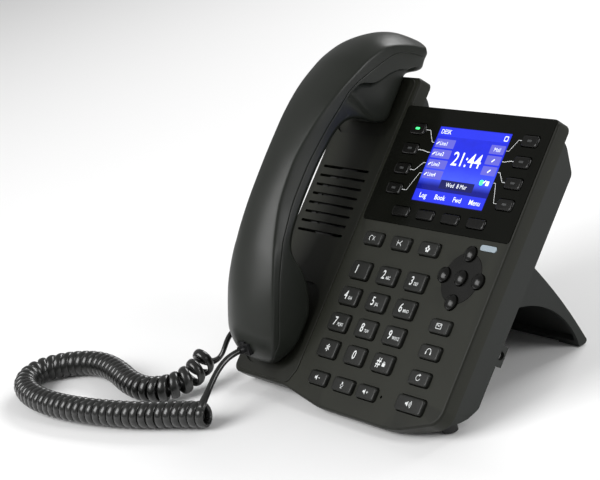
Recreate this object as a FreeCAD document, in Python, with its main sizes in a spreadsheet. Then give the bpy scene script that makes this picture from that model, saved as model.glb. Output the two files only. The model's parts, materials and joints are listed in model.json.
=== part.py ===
"""Desk IP phone with a corded handset, display, keypad, clip-on stand and curly cord.

Most sub-parts are drawn in the face frame: x to the right, y up the sloping face, z out of it,
with its origin on the keypad face at the middle of the phone's width. face_placement() turns that
frame into the phone's own frame, where the phone stands on the plane z = 0.
"""
import FreeCAD, Part
import math
import os

from FreeCAD import Placement, Rotation, Vector

doc = FreeCAD.newDocument("desk_phone")

# ---------------------------------------------------------------- driving dimensions (mm, degrees)
DIMENSIONS = {
    # the whole phone
    "face_tilt": 45.0,          # slope of the face from the desk
    "face_lift": 16.0,          # height of the face frame's origin above the desk
    "face_back": -68.1,         # how far back the face frame's origin lies
    "half_width": 90.5,
    "panel_top": 159.0,         # top edge of the display side
    "cradle_top": 175.5,        # top edge of the cradle side, which stands higher
    "cradle_edge": -32.5,       # the line between cradle and keypad
    "plateau": 0.6,             # how far the cradle stands above the keypad face
    "front_depth": 8.0,         # depth of the front cover
    "rear_depth": 13.0,         # depth of the rear cover behind it
    "wall": 2.5,
    "edge_round": 1.4,          # rounding of the cover's outer edge
    # display side
    "window_width": 120.0,
    "window_height": 68.0,
    "window_low": 90.5,
    "window_thick": 1.8,
    "window_proud": 0.3,
    "screen_width": 57.6,
    "screen_height": 43.2,
    "screen_left": 2.7,
    "screen_low": 105.0,
    # keys
    "key_gap": 0.4,             # clearance between a key and its hole
    "key_stand": 2.0,           # how far a key stands above the face
    "key_root": 4.0,            # depth of a key behind the face
    "flange": 1.0,              # rim that keeps the key behind the cover
    "flange_thick": 1.2,
    "corner": 1.6,
    "dial_width": 16.0,
    "dial_depth": 10.2,
    "dial_pitch_across": 23.7,
    "dial_pitch_down": 15.14,
    "dial_middle": 9.8,         # x of the middle column
    "dial_top_row": 61.3,
    "function_row": 80.0,
    "function_width": 15.4,
    "function_depth": 7.6,
    "line_key_left": -14.7,
    "line_key_right": 75.5,
    "line_key_top": 145.3,
    "line_key_pitch": 11.75,
    "line_key_width": 12.4,
    "line_key_depth": 6.2,
    "soft_key_first": -1.4,
    "soft_key_pitch": 20.5,
    "soft_key_row": 97.8,
    "soft_key_width": 14.0,
    "soft_key_depth": 5.6,
    "nav_across": 65.0,
    "nav_up": 68.5,
    "nav_ring": 13.3,
    "nav_button": 4.1,          # radius of a navigation button
    "nav_disc": 13.8,
    # handset
    "handset_middle": -63.0,
    "handset_wall": 2.2,
    # stand
    "stand_half_width": 69.5,
    "stand_wall": 2.6,
    # cord
    "lead_radius": 1.6,
    "coil_radius": 7.5,
}

sheet = doc.addObject("Spreadsheet::Sheet", "Sheet")
for row, (alias, number) in enumerate(DIMENSIONS.items(), start=1):
    sheet.set(f"A{row}", alias)
    sheet.set(f"B{row}", str(number))
    sheet.setAlias(f"B{row}", alias)
doc.recompute()


def size(alias):
    """A driving dimension as a plain number."""
    return float(sheet.get(alias))


def bind(obj, **expressions):
    """Ties properties of an object to the sheet; a double underscore stands for a dot."""
    for name, expression in expressions.items():
        obj.setExpression(name.replace("__", "."), expression)
    return obj


# ---------------------------------------------------------------- building blocks
def block(name, length, width, height, corner):
    """A box from its low corner; the three sizes are expressions or numbers."""
    solid = doc.addObject("Part::Box", name)
    bind(solid, Length=str(length), Width=str(width), Height=str(height))
    solid.Placement.Base = Vector(*corner)
    return solid


def level_block(name, length, width, height, corner, anchor):
    """A box whose sides are level and upright on the desk, drawn in the face frame.

    The anchor is a point of the face frame, or the desk below the frame's origin where it is zero;
    the corner is counted from it.
    """
    level = Rotation(Vector(1, 0, 0), -size("face_tilt"))
    if anchor == (0, 0, 0):
        anchor = level.multVec(Vector(0, 0, -size("face_lift")))
    solid = block(name, length, width, height, (0, 0, 0))
    solid.Placement = Placement(Vector(*anchor), level) * Placement(Vector(*corner), Rotation())
    return solid


def rod(name, radius, height, base, axis=Vector(0, 0, 1)):
    solid = doc.addObject("Part::Cylinder", name)
    bind(solid, Radius=str(radius), Height=str(height))
    solid.Placement = Placement(Vector(*base), Rotation(Vector(0, 0, 1), axis))
    return solid


def rounded_edges(corners):
    """Line and arc edges of a closed outline; each corner is (across, up, radius)."""
    points = [Vector(across, up, 0) for across, up, radius in corners]
    count = len(corners)
    starts, ends, arcs = [], [], []
    for index, (across, up, radius) in enumerate(corners):
        here = points[index]
        back = (points[index - 1] - here).normalize()
        ahead = (points[(index + 1) % count] - here).normalize()
        if radius == 0:
            starts.append(here)
            ends.append(here)
            arcs.append(None)
            continue
        half = back.getAngle(ahead) / 2
        reach = radius / math.tan(half)
        middle = here + (back + ahead).normalize() * (radius / math.sin(half) - radius)
        starts.append(here + back * reach)
        ends.append(here + ahead * reach)
        arcs.append(Part.Arc(starts[-1], middle, ends[-1]))
    edges = []
    for index in range(count):
        if arcs[index]:
            edges.append(arcs[index])
        following = starts[(index + 1) % count]
        if (following - ends[index]).Length > 1e-6:
            edges.append(Part.LineSegment(ends[index], following))
    return edges


SIDEWAYS = Rotation(Vector(1, 1, 1), 120)      # carries a drawing's x, y and normal to y, z and x


def outline(name, edges, base=(0, 0, 0), rotation=Rotation()):
    """A sketch that holds the given edges."""
    sketch = doc.addObject("Sketcher::SketchObject", name)
    for edge in edges:
        sketch.addGeometry(edge, False)
    sketch.Placement = Placement(Vector(*base), rotation)
    return sketch


def prism(name, edges, height, base=(0, 0, 0), rotation=Rotation()):
    """A solid drawn out along its outline's normal by an expression or a number."""
    solid = doc.addObject("Part::Extrusion", name)
    solid.Base = outline(name + "_outline", edges, base, rotation)
    solid.DirMode = "Normal"
    solid.Solid = True
    bind(solid, LengthFwd=str(height))
    return solid


def side_prism(name, edges, half_width, middle=0.0):
    """A side view, drawn as (y, z), carried half_width each way across from the middle."""
    return prism(name, edges, 2 * half_width, (middle - half_width, 0, 0), SIDEWAYS)


def group(name, solids):
    compound = doc.addObject("Part::Compound", name)
    compound.Links = solids
    return compound


def fuse(name, solids):
    joined = doc.addObject("Part::MultiFuse", name)
    joined.Shapes = solids
    return joined


def cut(name, base, tools):
    carved = doc.addObject("Part::Cut", name)
    carved.Base = base
    carved.Tool = group(name + "_tools", tools)
    return carved


def common(name, first, second):
    shared = doc.addObject("Part::Common", name)
    shared.Base = first
    shared.Tool = second
    return shared


def face_placement():
    """From the face frame to the phone's own frame."""
    return Placement(Vector(0, size("face_back"), size("face_lift")),
                     Rotation(Vector(1, 0, 0), size("face_tilt")))


subparts = []


def subpart(obj, label, placement=None):
    """Names a finished piece and puts it in its place on the phone."""
    obj.Label = label
    obj.Placement = (placement or face_placement()) * obj.Placement
    subparts.append(obj)
    return obj


# ---------------------------------------------------------------- the list of keys
def key_table():
    """Every key as name: (x, y, width, depth); a navigation button has no width or depth."""
    keys = {}
    for number in range(4):
        height = size("line_key_top") - number * size("line_key_pitch")
        for side in ("left", "right"):
            keys[f"line_key_{side}_{number + 1}"] = (
                size(f"line_key_{side}"), height, "line_key_width", "line_key_depth")
        keys[f"soft_key_{number + 1}"] = (
            size("soft_key_first") + number * size("soft_key_pitch"),
            size("soft_key_row"), "soft_key_width", "soft_key_depth")
    columns = [size("dial_middle") + step * size("dial_pitch_across") for step in (-1, 0, 1)]
    for column, name in zip(columns, ("hold_key", "conference_key", "directory_key")):
        keys[name] = (column, size("function_row"), "function_width", "function_depth")
    names = ["one", "two", "three", "four", "five", "six", "seven", "eight", "nine",
             "star", "zero", "hash"]
    for index, name in enumerate(names):
        row, column = divmod(index, 3)
        keys[f"dial_{name}"] = (
            columns[column], size("dial_top_row") - row * size("dial_pitch_down"),
            "dial_width", "dial_depth")
    right = size("nav_across")
    keys["message_key"] = (right, 41.6, "function_width", "function_depth")
    keys["headset_key"] = (right, 27.7, "function_width", "function_depth")
    keys["redial_key"] = (right, 13.6, "function_width", "function_depth")
    keys["speaker_key"] = (right + 0.8, -0.4, 21.0, 8.6)
    keys["volume_down_key"] = (columns[0] + 2.0, -0.8, "function_width", "function_depth")
    keys["mute_key"] = (columns[1] + 0.2, -0.8, 17.0, "function_depth")
    keys["volume_up_key"] = (columns[2] - 3.3, -0.8, "function_width", "function_depth")
    ring = size("nav_ring")
    offsets = {"ok": (0, 0), "up": (0, ring), "down": (0, -ring), "left": (-ring, 0), "right": (ring, 0)}
    for name, (across, up) in offsets.items():
        keys[f"nav_{name}_key"] = (right + across, size("nav_up") + up, None, None)
    return keys


KEYS = key_table()


def measure(value):
    """A key's width or depth: a number, or the name of a driving dimension."""
    return size(value) if isinstance(value, str) else value


def rectangle(across, up, width, depth, radius):
    """A rounded rectangle about a centre."""
    left, right = across - width / 2, across + width / 2
    low, high = up - depth / 2, up + depth / 2
    return rounded_edges([(left, low, radius), (right, low, radius),
                          (right, high, radius), (left, high, radius)])


def square_key(name, across, up, width, depth):
    """A moulded key: a rounded cap with a rim below it that the cover holds back."""
    width, depth = measure(width), measure(depth)
    root, rim = size("key_root"), size("flange")
    stand = size("key_stand") if not name.startswith(("line", "soft")) else 1.2
    cap = prism(name + "_cap", rectangle(across, up, width, depth, size("corner")),
                f"Sheet.key_root + {stand}", (0, 0, -root))
    bevel = doc.addObject("Part::Chamfer", name + "_bevel")
    doc.recompute()
    bevel.Base = cap
    top = [number for number, edge in enumerate(cap.Shape.Edges, start=1)
           if edge.BoundBox.ZMin > stand - 0.01]
    bevel.Edges = [(number, 0.5, 0.5) for number in top]
    flange = prism(name + "_rim", rectangle(across, up, width + 2 * rim, depth + 2 * rim, size("corner")),
                   "Sheet.flange_thick", (0, 0, -root))
    return fuse(name, [bevel, flange])


def round_key(name, across, up):
    """A domed navigation button with the same kind of rim."""
    radius, root, dome = size("nav_button"), size("key_root"), 1.4
    stem = rod(name + "_stem", "Sheet.nav_button", "Sheet.key_root + 1.2", (across, up, -root))
    ball_radius = (radius ** 2 + dome ** 2) / (2 * dome)
    ball = doc.addObject("Part::Sphere", name + "_ball")
    ball.Radius = ball_radius
    ball.Placement.Base = Vector(across, up, 1.2 + dome - ball_radius)
    slice_of_ball = common(name + "_dome", ball, rod(name + "_dome_limit", "Sheet.nav_button", 3,
                                                     (across, up, 1.2)))
    flange = rod(name + "_rim", "Sheet.nav_button + Sheet.flange", "Sheet.flange_thick",
                 (across, up, -root))
    return fuse(name, [stem, slice_of_ball, flange])


def make_keys():
    for name, (across, up, width, depth) in KEYS.items():
        if width is None:
            subpart(round_key(name, across, up), name)
        else:
            subpart(square_key(name, across, up, width, depth), name)


def key_holes(prefix, base, height, names):
    """A cutter for each key, wider than the key by the clearance."""
    gap = size("key_gap")
    holes = []
    for name in names:
        across, up, width, depth = KEYS[name]
        if width is None:
            holes.append(rod(prefix + name, f"Sheet.nav_button + {gap}", height, (across, up, base)))
        else:
            edges = rectangle(across, up, measure(width) + 2 * gap, measure(depth) + 2 * gap,
                              size("corner") + gap)
            holes.append(prism(prefix + name, edges, height, (0, 0, base)))
    return holes


# ---------------------------------------------------------------- covers
def phone_outline(inset=0.0, top_drop=0.0):
    """The plan of the body: a low display side and a taller cradle side, with a bowed front edge."""
    side = size("half_width") - inset
    step = size("cradle_edge") + 2.5 - inset
    high = size("cradle_top") - inset - top_drop
    low = size("panel_top") - inset - top_drop
    front = -10.0 + inset
    return rounded_edges([
        (-side, front, 5), (-40, front, 30), (-6, front - 5.6, 40), (58, front - 5.6, 60),
        (side, front + 4.5, 10), (side, low, 5), (step, low, 2), (step, high, 4), (-side, high, 12)])


def cradle_outline(inset=0.0):
    side = size("half_width") - inset
    return rounded_edges([
        (-side, -10 + inset, 5), (-38, -10 + inset, 4), (size("cradle_edge") - 1, 0, 8),
        (size("cradle_edge") - 1, size("cradle_top") - inset, 4), (-side, size("cradle_top") - inset, 12)])


def mouth_cup(name, bottom):
    """The recess that the mouthpiece end of the handset lies in."""
    return prism(name, rectangle(size("handset_middle"), 23.0, 50.0, 52.0, 14.0), 30, (0, 0, bottom))


def ear_cup(name, bottom):
    """The recess for the earpiece, open over the top edge of the phone."""
    return prism(name, rectangle(size("handset_middle"), 160.0, 50.0, 44.0, 8.0), 30, (0, 0, bottom))


GRILLE_ROWS = [77.7 + row * 5.57 for row in range(8)]
HOOK_PLACE = (-63.0, 160.0)
JACKS = {"network": (-20.0, 118.0), "computer": (0.0, 118.0), "power": (22.0, 118.0)}
SIDE_JACKS = {"handset": 50.0, "headset": 72.0}
SCREWS = [(-82.0, 10.0), (82.0, 16.0), (-82.0, 150.0), (82.0, 136.0)]
HOOKS = [(side * 50.0, up) for side in (-1, 1) for up in (64.0, 88.0)]


def grille_slots(base, height):
    middle = size("handset_middle")
    return [prism(f"grille_slot_{row}", rectangle(middle, up, 42.0, 1.6, 0.7), height, (0, 0, base))
            for row, up in enumerate(GRILLE_ROWS)]


def screen_outline(margin, radius):
    return rectangle(size("screen_left") + size("screen_width") / 2,
                     size("screen_low") + size("screen_height") / 2,
                     size("screen_width") + margin, size("screen_height") + margin, radius)


def window_outline(margin, radius):
    return rectangle(size("cradle_edge") + 1.2 + size("window_width") / 2,
                     size("window_low") + size("window_height") / 2,
                     size("window_width") + margin, size("window_height") + margin, radius)


def rounded_rim(name, solid, top, radius):
    """Rounds the edges that lie in a solid's top face."""
    doc.recompute()
    rim = doc.addObject("Part::Fillet", name)
    rim.Base = solid
    rim.Edges = [(number, radius, radius) for number, edge in enumerate(solid.Shape.Edges, start=1)
                 if edge.BoundBox.ZMin > top - 0.01]
    return rim


def make_front_cover():
    depth, wall = size("front_depth"), size("wall")
    front_block = prism("front_block", phone_outline(), "Sheet.front_depth", (0, 0, -depth))
    body = rounded_rim("front_rim", front_block, 0, size("edge_round"))
    raised = rounded_rim("cradle_rim", prism("cradle_block", cradle_outline(1.6), "Sheet.plateau + 1", (0, 0, -1)),
                         size("plateau"), 0.4)
    outer = fuse("front_outer", [body, raised])
    under_edge = level_block("under_edge", 200, 40, 20, (-100, -30, -20 + 1.8), (0, 0, 0))
    hollow = prism("front_hollow", phone_outline(wall), depth - wall, (0, 0, -depth))
    window_floor = size("window_proud") - size("window_thick")
    tools = [
        hollow,
        under_edge,
        mouth_cup("mouth_cup", -0.5),
        ear_cup("ear_cup", -0.5),
        prism("window_seat", window_outline(0.4, 2.2), 5, (0, 0, window_floor)),
        prism("screen_hole", screen_outline(3, 1), 9, (0, 0, -6)),
        rod("disc_seat", "Sheet.nav_disc + 0.2", 4, (size("nav_across"), size("nav_up"), -1.2)),
        prism("lamp_hole", rectangle(76.2, 86.2, 12.4, 3.4, 1.65), 6, (0, 0, -4)),
        rod("microphone_hole", 0.8, 6, (41.3, -0.8, -4)),
        prism("hook_slot", rectangle(*HOOK_PLACE, 6.0, 9.0, 1.0), 9, (0, 0, -4)),
    ]
    tools += key_holes("cover_hole_", -4, 9, KEYS)
    tools += grille_slots(-4, 9)
    subpart(cut("front_cover", outer, tools), "front_cover")


def rear_profile(top, inset=0.0):
    """Side view of the rear cover: a shallow tub with its ends sloped inwards."""
    back = -size("front_depth") - size("rear_depth") + inset
    front = -size("front_depth")
    lean = inset * 0.4
    return rounded_edges([(-8.5 + inset + lean, front, 0), (-3 + inset + lean, -10.5 + lean, 3),
                          (3.5 + inset, -17 + lean, 2), (10 + inset, back, 4),
                          (top - 14 - inset, back, 5), (top - inset, front, 0)])


def rear_block(name, inset=0.0):
    """The rear cover's outer shape, or the room inside it."""
    depth, half = size("rear_depth"), size("half_width")
    plan = prism(name + "_plan", phone_outline(0.8 + inset, 6.0), depth + 2, (0, 0, -depth - 8 - 1))
    step = size("cradle_edge") + 2.5
    right = side_prism(name + "_right", rear_profile(size("panel_top") - 7, inset), (half - step) / 2 + 1,
                       (half + step) / 2)
    left = side_prism(name + "_left", rear_profile(size("cradle_top") - 7, inset), (half + step) / 2 + 1,
                      (step - half) / 2 - 0.4)
    return common(name, plan, fuse(name + "_profile", [right, left]))


def jack_boxes(prefix, margin, bottom, top):
    """The back jacks' outer boxes, grown by a margin."""
    boxes = []
    for name, (across, up) in JACKS.items():
        width = 11.0 if name == "power" else 16.0
        boxes.append(block(prefix + name, width + 2 * margin, 13 + 2 * margin, top - bottom,
                           (across - width / 2 - margin, up - 6.5 - margin, bottom)))
    return boxes


def side_jack_boxes(prefix, margin, low, high):
    """The handset and headset jacks, which open through the left side."""
    return [block(prefix + name, high - low, 12 + 2 * margin, 8 + 2 * margin,
                  (low, up - 6 - margin, -18.4 - margin)) for name, up in SIDE_JACKS.items()]


def make_rear_cover():
    back = -size("front_depth") - size("rear_depth")
    wall = size("wall")
    shell_tools = [rear_block("rear_room", wall)]
    bosses, holes = [], []
    for number, (across, up) in enumerate(SCREWS):
        bosses.append(rod(f"boss_{number}", 3.2, 9.0, (across, up, back + 1)))
        holes.append(rod(f"screw_hole_{number}", 1.5, 16, (across, up, back - 1)))
        holes.append(rod(f"screw_seat_{number}", 2.9, 2.0, (across, up, back - 0.3)))
    for number, (across, up) in enumerate(HOOKS):
        holes.append(block(f"hook_wide_{number}", 9.6, 6, 4, (across - 4.8, up - 11, back - 0.5)))
        holes.append(block(f"hook_narrow_{number}", 5, 12, 4, (across - 2.5, up - 9.6, back - 0.5)))
    lugs, lug_holes = [], []
    for side in (-1, 1):
        lugs.append(block(f"lug_{side + 1}", 2.6, 11, 7.2, (side * 85.3 - 1.3, 34, back - 6.4)))
        lug_holes.append(rod(f"lug_hole_{side + 1}", 2.4, 6, (side * 85.3 - 3, 39.6, back - 3.2),
                             Vector(1, 0, 0)))
    shell = cut("rear_shell", rear_block("rear_outer"), shell_tools)
    whole = fuse("rear_whole", [shell, *bosses, *lugs])
    tools = holes + lug_holes + jack_boxes("bay_", 0.3, back - 1, back + 4)
    tools += side_jack_boxes("side_bay_", 0.3, -95, -85)
    subpart(cut("rear_cover", whole, tools), "rear_cover")


# ---------------------------------------------------------------- display, lamps and boards
def make_display():
    floor = size("window_proud") - size("window_thick")
    plate = prism("window_plate", window_outline(0, 2), "Sheet.window_thick", (0, 0, floor))
    names = [name for name in KEYS if name.startswith(("line", "soft"))]
    subpart(cut("display_window", plate, key_holes("window_hole_", -3, 6, names)), "display_window")
    subpart(prism("display_module", screen_outline(6, 1), 2.8, (0, 0, -5.5)), "display_module")


def make_nav_bezel():
    disc = rod("nav_disc", "Sheet.nav_disc", 1.3, (size("nav_across"), size("nav_up"), -1.2))
    names = [name for name in KEYS if name.startswith("nav")]
    subpart(cut("nav_bezel", disc, key_holes("disc_hole_", -2, 4, names)), "nav_bezel")


def make_message_lamp():
    subpart(prism("message_lamp", rectangle(76.2, 86.2, 12.0, 3.0, 1.45), 4.2, (0, 0, -3.8)),
            "message_lamp")


def make_key_mat():
    plate = block("mat_plate", 107, 152, 2, (-29, -3.5, -8.3))
    domes = []
    for name, (across, up, width, depth) in KEYS.items():
        width = measure(width) - 2 if width else 5.6
        depth = measure(depth) - 2 if depth else 5.6
        domes.append(block("dome_" + name, width, depth, 1.4, (across - width / 2, up - depth / 2, -6.6)))
    subpart(fuse("key_mat", [plate, *domes]), "key_mat")


def make_main_board():
    back = -size("front_depth") - size("rear_depth")
    plate = block("board_plate", 157, 138, 1.6, (-79, 4, -10.3))
    pieces = [plate]
    for name, box in zip(JACKS, jack_boxes("jack_", 0, back + 0.6, -10.3)):
        across, up = JACKS[name]
        width = 7.0 if name == "power" else 12.0
        mouth = block(f"jack_mouth_{name}", width, 11, 7, (across - width / 2, up - 5.5, back - 0.4))
        pieces.append(cut(f"jack_body_{name}", box, [mouth]))
    for name, box in zip(SIDE_JACKS, side_jack_boxes("side_jack_", 0, -88, -76)):
        up = SIDE_JACKS[name]
        mouth = block(f"side_mouth_{name}", 10, 9.6, 7, (-89, up - 4.8, -17.9))
        pieces.append(cut(f"side_jack_body_{name}", box, [mouth]))
    subpart(group("main_board", pieces), "main_board")


def make_loudspeaker():
    middle = size("handset_middle")
    frame = rod("speaker_frame", 21, 2.2, (middle, 97.5, -4.9))
    magnet = rod("speaker_magnet", 12, 3.4, (middle, 97.5, -8.3))
    cone = rod("speaker_hollow", 17, 1.2, (middle, 97.5, -3.6))
    subpart(cut("loudspeaker", fuse("speaker_body", [frame, magnet]), [cone]), "loudspeaker")


def make_hook_plunger():
    across, up = HOOK_PLACE
    stem = prism("plunger_stem", rectangle(across, up, 5.2, 8.2, 0.8), 4.1, (0, 0, -4.4))
    foot = block("plunger_foot", 9, 11, 1.2, (across - 4.5, up - 5.5, -7.2))
    neck = block("plunger_neck", 3, 5, 2, (across - 1.5, up - 2.5, -6.2))
    subpart(fuse("hook_plunger", [stem, foot, neck]), "hook_plunger")


def make_screws():
    back = -size("front_depth") - size("rear_depth")
    screws = []
    for number, (across, up) in enumerate(SCREWS):
        head = rod(f"screw_head_{number}", 2.7, 1.5, (across, up, back + 0.15))
        shank = rod(f"screw_shank_{number}", 1.4, 11.0, (across, up, back + 1.6))
        slot = block(f"screw_slot_{number}", 3.6, 0.7, 0.8, (across - 1.8, up - 0.35, back))
        screws.append(cut(f"screw_{number}", fuse(f"screw_solid_{number}", [head, shank]), [slot]))
    subpart(group("case_screws", screws), "case_screws")


# ---------------------------------------------------------------- stand and feet
def stand_edges():
    """Side view of the stand: a swept-back leg whose tip lies along the desk."""
    back = -size("front_depth") - size("rear_depth")
    root = back - 0.3
    return [
        Part.Arc(Vector(95, root, 0), Vector(87.3, -52.8, 0), Vector(72.6, -90.6, 0)),
        Part.Arc(Vector(72.6, -90.6, 0), Vector(71.6, -92.2, 0), Vector(69.4, -92.0, 0)),
        Part.LineSegment(Vector(69.4, -92.0, 0), Vector(66.6, -89.2, 0)),
        Part.LineSegment(Vector(66.6, -89.2, 0), Vector(69.4, -85.7, 0)),
        Part.Arc(Vector(69.4, -85.7, 0), Vector(76.0, -58.0, 0), Vector(60, -30, 0)),
        Part.LineSegment(Vector(60, -30, 0), Vector(54, root, 0)),
        Part.LineSegment(Vector(54, root, 0), Vector(95, root, 0)),
    ]


def stand_room():
    """The hollow between the stand's two side walls, under its skin and mounting plate."""
    back = -size("front_depth") - size("rear_depth")
    ceiling = back - 3.0
    return [
        Part.Arc(Vector(91.9, ceiling, 0), Vector(84.8, -52.2, 0), Vector(71.3, -86.8, 0)),
        Part.LineSegment(Vector(71.3, -86.8, 0), Vector(40, -86.8, 0)),
        Part.LineSegment(Vector(40, -86.8, 0), Vector(40, ceiling, 0)),
        Part.LineSegment(Vector(40, ceiling, 0), Vector(91.9, ceiling, 0)),
    ]


def make_stand():
    back = -size("front_depth") - size("rear_depth")
    half, wall = size("stand_half_width"), size("stand_wall")
    leg = side_prism("stand_leg", stand_edges(), half)
    room = side_prism("stand_room", stand_room(), half - wall)
    arch = side_prism("stand_arch", rounded_edges([(60, -95, 0), (68, -95, 0), (70.2, -90.2, 0),
                                                   (64, -86.5, 0)]), half - 16)
    shell = cut("stand_shell", leg, [room, arch])
    hooks = []
    for number, (across, up) in enumerate(HOOKS):
        hooks.append(block(f"hook_stem_{number}", 4, 4, 5.2, (across - 2, up - 2, back - 1)))
        hooks.append(block(f"hook_head_{number}", 8.4, 4, 1.2, (across - 4.2, up - 2, back + 3.0)))
    subpart(fuse("desk_stand", [shell, *hooks]), "desk_stand")


def make_feet():
    feet = [rod(f"foot_{side + 1}", 4.2, 6.4, (side * 79.0, 9.9, 0)) for side in (-1, 1)]
    subpart(group("rubber_feet", feet), "rubber_feet", Placement(Vector(0, size("face_back"), 0), Rotation()))


# ---------------------------------------------------------------- handset
def smooth(points):
    """A curve through points given as (across, up)."""
    curve = Part.BSplineCurve()
    curve.interpolate([Vector(*point, 0) for point in points])
    return curve


BACK_CURVE = [(-1, 0.3), (-1.8, 8), (2, 17), (11, 25), (24, 31.5), (40, 37.5), (60, 43), (82, 46.2),
              (102, 46.8), (124, 45.4), (148, 41.4), (171, 35), (187, 25.2), (197, 11.5), (201, -7.2)]
UNDER_CURVE = [(146, 0.3), (142.5, 10), (139, 24), (127, 30.6), (104, 32.3), (80, 31.8), (64, 30),
               (55.5, 24.5), (50.8, 15), (44, 7.5), (34, 1.8), (28, 0.3)]


def drawn_in(points, inset, first_height, last_height):
    """A curve moved to the right of its run; its two ends are set at the given heights."""
    moved = []
    for index, (across, up) in enumerate(points):
        before = points[max(index - 1, 0)]
        after = points[min(index + 1, len(points) - 1)]
        run, rise = after[0] - before[0], after[1] - before[1]
        length = math.hypot(run, rise)
        moved.append((across + inset * rise / length, up - inset * run / length))
    moved[0] = (moved[0][0], first_height)
    moved[-1] = (moved[-1][0], last_height)
    return moved


def handset_profile(inset=0.0):
    """Side view of the handset: one long arched back, the grip's underside and the two ends."""
    floor, lip = 0.3 + inset, -7.2 + inset
    back = drawn_in(BACK_CURVE, inset, floor, lip)
    under = drawn_in(UNDER_CURVE, inset, floor, floor)
    corners = [back[-1], (181.5 + inset, lip), (180 + inset, floor), under[0]]
    edges = [Part.LineSegment(Vector(*start, 0), Vector(*end, 0)) for start, end in zip(corners, corners[1:])]
    return [smooth(back), *edges, smooth(under),
            Part.LineSegment(Vector(*under[-1], 0), Vector(*back[0], 0))]


def handset_plan(inset=0.0):
    """Plan of the handset: waisted in the middle, rounded at both ends."""
    middle = size("handset_middle")
    end, waist, shoulder, tip = 23 - inset, 17 - inset, 22.2 - inset, 20 - inset
    top, low = 201.2 - inset, -2 + inset

    def spot(side, across, up):
        return Vector(middle + side * across, up, 0)

    edges = []
    for side in (1, -1):
        edges.append(Part.Arc(spot(side, end, 26), spot(side, waist, 97), spot(side, end, 168)))
        edges.append(Part.Arc(spot(side, end, 168), spot(side, shoulder, 184), spot(side, tip, top - 4.4)))
    edges.append(Part.Arc(spot(1, tip, top - 4.4), spot(0, 0, top), spot(-1, tip, top - 4.4)))
    edges.append(Part.Arc(spot(-1, end, 26), spot(0, 0, low), spot(1, end, 26)))
    return edges


def parting_edges():
    """Everything above the seam between the handset's two shells."""
    seam = smooth([(-12, 5), (8, 12), (24, 21.5), (40, 28.5), (60, 34.5), (82, 37), (104, 37.3), (126, 36),
                   (150, 33.5), (165, 28), (176, 21.4), (185, 13), (191.4, 2), (195.5, -11)])
    corners = [(195.5, -11), (220, -11), (220, 60), (-12, 60), (-12, 5)]
    lines = [Part.LineSegment(Vector(*start, 0), Vector(*end, 0)) for start, end in zip(corners, corners[1:])]
    return [seam] + lines


def handset_solid(name, hollow):
    """The handset's outer shape, or the room inside its walls."""
    inset = size("handset_wall") if hollow else 0.0
    side = side_prism(name + "_side", handset_profile(inset), 30, size("handset_middle"))
    plan = prism(name + "_plan", handset_plan(inset), 70, (0, 0, -10))
    return common(name, side, plan)


PLUG_SPOT = (1.6, 16.4)        # where the plug enters the handset's lower end, as (y, z)


def plug_block(name, length, depth, height, rise=0.0, out=0.0):
    """A level box on the plug's axis: it starts out in front of the handset's end and runs inwards."""
    anchor = (size("handset_middle"), *PLUG_SPOT)
    return level_block(name, length, depth, height, (-length / 2, -out, rise - height / 2), anchor)


def make_handset():
    middle = size("handset_middle")
    upper = side_prism("upper_half", parting_edges(), 40, middle)
    outer = common("outer_block", handset_solid("handset_a", False), upper)
    tools = [handset_solid("cavity_a", True), plug_block("plug_hole_a", 10.4, 14, 8.8, 0, 6)]
    subpart(cut("handset_outer_shell", outer, tools), "handset_outer_shell")
    slots = [prism(f"ear_slot_{step}", rectangle(middle + 5 * (step - 2), 161, 2, 16, 0.9), 5, (0, 0, -1))
             for step in range(5)]
    slots.append(prism("talk_slot", rectangle(middle, 17, 12, 2, 0.9), 5, (0, 0, -1)))
    upper_again = side_prism("upper_half_again", parting_edges(), 40, middle)
    tools = [upper_again, handset_solid("cavity_b", True), plug_block("plug_hole_b", 10.4, 14, 8.8, 0, 6)]
    subpart(cut("handset_inner_shell", handset_solid("handset_b", False), tools + slots),
            "handset_inner_shell")
    receiver = rod("receiver", 13, 5.5, (middle, 163, 3))
    microphone = rod("talk_capsule", 4.6, 4, (middle, 24, 3))
    socket = cut("handset_socket", plug_block("handset_socket_box", 12.4, 7, 9.4, 0, -6),
                 [plug_block("handset_socket_mouth", 10.0, 7, 7.0, 0, -5)])
    subpart(group("handset_capsules", [receiver, microphone, socket]), "handset_capsules")


# ---------------------------------------------------------------- cord
HANDSET_LEAD = [(-63, -83, 28.73), (-63, -88.6, 28.73), (-63.6, -95.6, 26.8), (-64.5, -103.1, 23),
                (-64, -110.1, 17.5), (-61.5, -115.6, 12.5)]
COIL_ROUTE = [(-55, -117.6, 7.6), (-72, -124.6, 7.6), (-90, -134.6, 7.6), (-119, -145.1, 7.6), (-153, -153.1, 7.6),
              (-184, -155.1, 7.6), (-210, -149.6, 7.6), (-223, -137.1, 7.6), (-220, -124.1, 7.6),
              (-208, -113.1, 7.6), (-190, -106.1, 7.6), (-166, -108.1, 7.6), (-143, -114.1, 7.6),
              (-122, -115.1, 7.6), (-109, -107.1, 8.0), (-105, -96.1, 9.5), (-106, -85.1, 13), (-110.5, -74.1, 18)]
BASE_LEAD = [(-110.5, -74.1, 18), (-109.5, -67.1, 20.2), (-106.5, -59.6, 22.8), (-106.5, -51.6, 25.6),
             (-110, -44.1, 28.8), (-114.5, -36.6, 32.5), (-116, -28.6, 36.8), (-111, -22.56, 41.17),
             (-103, -22.56, 41.17)]


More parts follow.
